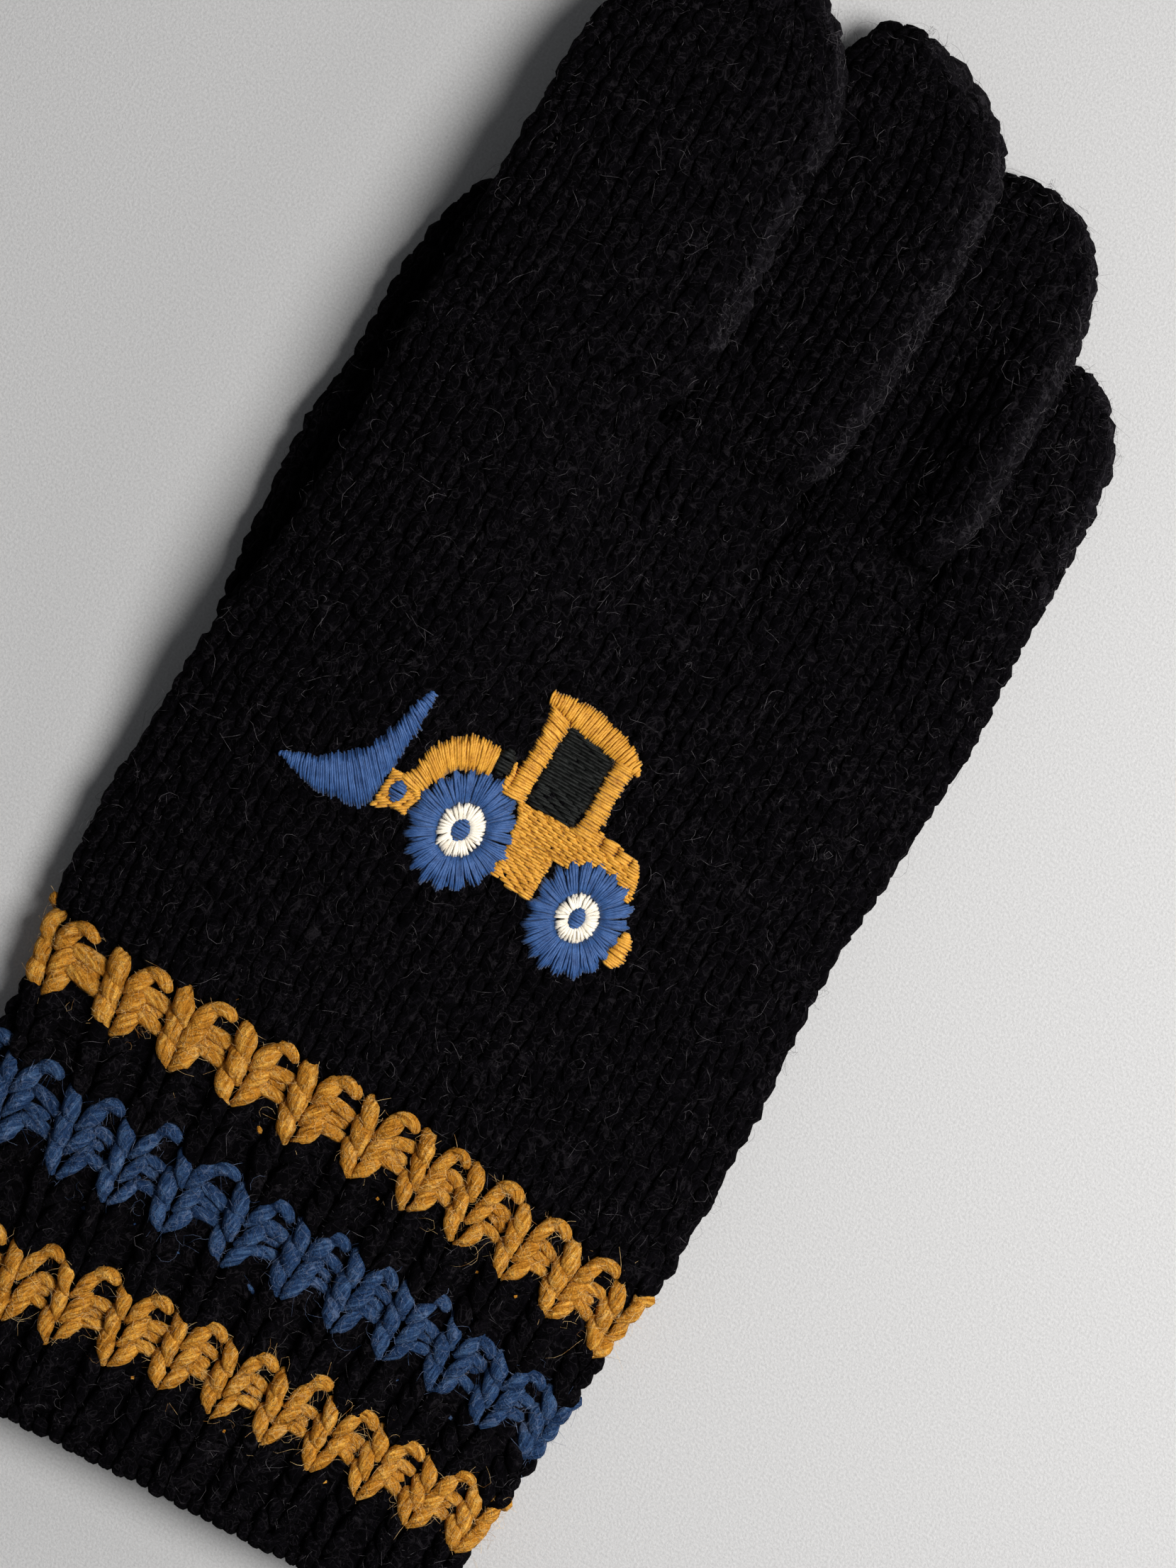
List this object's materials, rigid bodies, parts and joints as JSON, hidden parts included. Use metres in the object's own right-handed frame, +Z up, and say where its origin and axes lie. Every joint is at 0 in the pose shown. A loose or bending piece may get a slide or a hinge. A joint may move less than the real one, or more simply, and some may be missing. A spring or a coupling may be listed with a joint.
{
  "type": "child's knitted glove with an embroidered motif",
  "caption": "Knitted wool glove for a child's right hand, palm down with the thumb folded under, with a striped rib cuff and an embroidered wheel loader on its back.",
  "frame": {"origin": "under the middle of the glove, on the surface that it lies on", "axes": "+Y from the cuff's mouth to the fingertips, +Z up out of the back of the hand, +X to the little finger"},
  "size_m": [0.0818, 0.179, 0.0195],
  "materials": {
    "black_wool": "fuzzy knitted wool, black with a faint purple tint",
    "yellow_wool": "fuzzy knitted wool, ochre yellow",
    "blue_wool": "fuzzy knitted wool, denim blue",
    "yellow_thread": "embroidery thread with a silky sheen, golden yellow",
    "blue_thread": "embroidery thread with a silky sheen, mid blue",
    "white_thread": "embroidery thread with a silky sheen, cream white",
    "dark_thread": "embroidery thread with a silky sheen, charcoal"
  },
  "bodies": {
    "root": {"cuff_welt": "black_wool", "lower_yellow_stripe": "yellow_wool", "lower_black_rib": "black_wool", "blue_stripe": "blue_wool", "upper_black_rib": "black_wool", "upper_yellow_stripe": "yellow_wool", "hand": "black_wool", "thumb": "black_wool", "index_finger": "black_wool", "middle_finger": "black_wool", "ring_finger": "black_wool", "little_finger": "black_wool", "bucket": "blue_thread", "bucket_pivot": "blue_thread", "boom_link": "yellow_thread", "bonnet": "yellow_thread", "exhaust": "dark_thread", "cab_frame": "yellow_thread", "cab_window": "dark_thread", "chassis": "yellow_thread", "rear_bumper": "yellow_thread", "front_tyre": "blue_thread", "front_rim": "white_thread", "front_hub": "blue_thread", "rear_tyre": "blue_thread", "rear_rim": "white_thread", "rear_hub": "blue_thread"}
  },
  "joints": []
}
